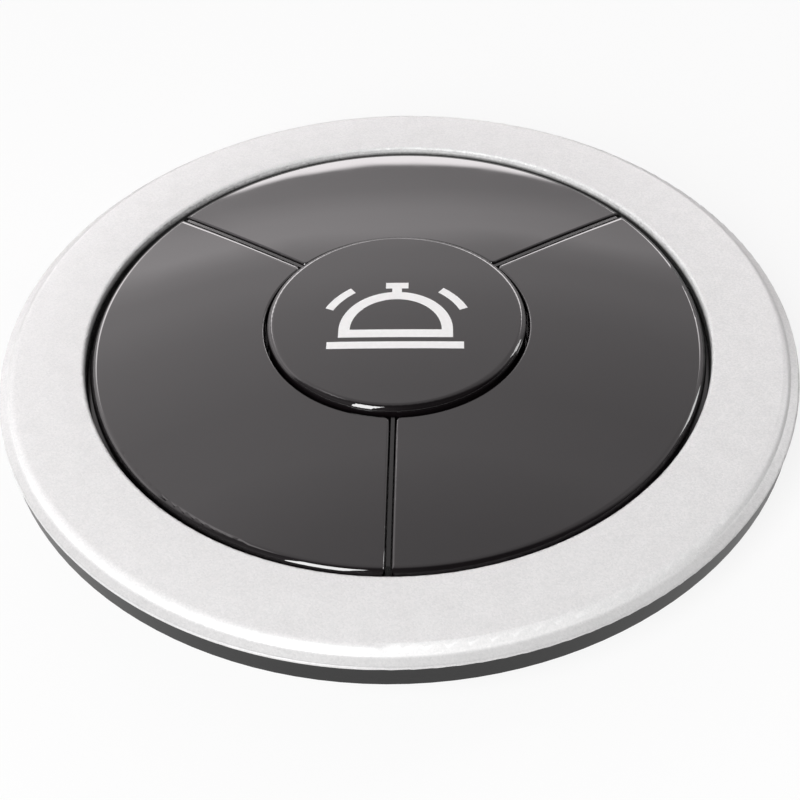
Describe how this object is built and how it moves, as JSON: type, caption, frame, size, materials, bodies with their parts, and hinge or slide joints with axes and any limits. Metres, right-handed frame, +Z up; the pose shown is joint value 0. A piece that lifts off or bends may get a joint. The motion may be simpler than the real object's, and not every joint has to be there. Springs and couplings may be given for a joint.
{
  "type": "waiter call button",
  "caption": "Round table-top call transmitter: a raised gloss black centre key inside sector keys, a silver ring, and a dark base on a non-slip pad.",
  "frame": {"origin": "centre of the underside of the non-slip pad", "axes": "+Z up out of the keys; -Y towards the guest, along the front groove between the left and right keys"},
  "size_m": [0.09, 0.09, 0.0146],
  "materials": {
    "silver_paint": "satin silver metallic paint on moulded plastic",
    "frame_black": "moulded gloss",
    "base_black": "fine moulded texture",
    "pad_rubber": "matt",
    "screw_steel": "zinc plated",
    "board_green": "solder mask",
    "chip_black": "moulded epoxy",
    "tinned_leads": "tinned",
    "can_steel": "nickel plated can",
    "ceramic_tan": "ceramic",
    "copper_wire": "enamelled copper",
    "holder_plastic": "moulded",
    "contact_steel": "nickel plated spring steel",
    "cell_steel": "polished can",
    "key_gloss": "high gloss",
    "switch_black": "moulded",
    "switch_steel": "stamped",
    "plunger_black": "moulded",
    "dome_steel": "spring steel"
  },
  "bodies": {
    "housing": {"bezel_ring": "silver_paint", "key_frame": "frame_black", "bottom_cover": "base_black", "non_slip_pad": "pad_rubber", "cover_screws": "screw_steel", "circuit_board": "board_green", "encoder_chip": "chip_black", "encoder_leads": "tinned_leads", "saw_resonator": "can_steel", "transmitter_transistor": "chip_black", "chip_components": "ceramic_tan", "antenna_wire": "copper_wire", "battery_holder": "holder_plastic", "positive_contact": "contact_steel", "negative_contact": "contact_steel", "coin_cell": "cell_steel", "switch_terminals": "tinned_leads", "call_switch_base": "switch_black", "rear_switch_base": "switch_black", "left_switch_base": "switch_black", "right_switch_base": "switch_black", "call_switch_cover": "switch_steel", "rear_switch_cover": "switch_steel", "left_switch_cover": "switch_steel", "right_switch_cover": "switch_steel", "call_snap_dome": "dome_steel", "rear_snap_dome": "dome_steel", "left_snap_dome": "dome_steel", "right_snap_dome": "dome_steel"},
    "battery_door": {"battery_door": "base_black"},
    "call_key": {"call_key": "key_gloss"},
    "call_plunger": {"call_switch_plunger": "plunger_black"},
    "rear_key": {"rear_key": "key_gloss"},
    "rear_plunger": {"rear_switch_plunger": "plunger_black"},
    "left_key": {"left_key": "key_gloss"},
    "left_plunger": {"left_switch_plunger": "plunger_black"},
    "right_key": {"right_key": "key_gloss"},
    "right_plunger": {"right_switch_plunger": "plunger_black"}
  },
  "joints": [
    {"name": "battery_door_turn", "type": "hinge", "parent": "housing", "child": "battery_door", "pos_m": [0, 0, 0.0008], "axis": [0, 0, -1], "range_deg": [0, 30]},
    {"name": "call_key_press", "type": "slide", "parent": "housing", "child": "call_key", "axis": [0, 0, -1], "range_m": [0, 0.0004], "stiffness_N_per_m": 4000},
    {"name": "call_plunger_press", "type": "slide", "parent": "housing", "child": "call_plunger", "axis": [0, 0, -1], "range_m": [0, 0.00025], "deforming": ["call_snap_dome"]},
    {"name": "rear_key_press", "type": "slide", "parent": "housing", "child": "rear_key", "axis": [0, 0, -1], "range_m": [0, 0.0004], "stiffness_N_per_m": 4000},
    {"name": "rear_plunger_press", "type": "slide", "parent": "housing", "child": "rear_plunger", "axis": [0, 0, -1], "range_m": [0, 0.00025], "deforming": ["rear_snap_dome"]},
    {"name": "left_key_press", "type": "slide", "parent": "housing", "child": "left_key", "axis": [0, 0, -1], "range_m": [0, 0.0004], "stiffness_N_per_m": 4000},
    {"name": "left_plunger_press", "type": "slide", "parent": "housing", "child": "left_plunger", "axis": [0, 0, -1], "range_m": [0, 0.00025], "deforming": ["left_snap_dome"]},
    {"name": "right_key_press", "type": "slide", "parent": "housing", "child": "right_key", "axis": [0, 0, -1], "range_m": [0, 0.0004], "stiffness_N_per_m": 4000},
    {"name": "right_plunger_press", "type": "slide", "parent": "housing", "child": "right_plunger", "axis": [0, 0, -1], "range_m": [0, 0.00025], "deforming": ["right_snap_dome"]}
  ],
  "couplings": [
    {"joint": "call_plunger_press", "follows": "call_key_press", "ratio": 0.625},
    {"joint": "rear_plunger_press", "follows": "rear_key_press", "ratio": 0.625},
    {"joint": "left_plunger_press", "follows": "left_key_press", "ratio": 0.625},
    {"joint": "right_plunger_press", "follows": "right_key_press", "ratio": 0.625}
  ]
}
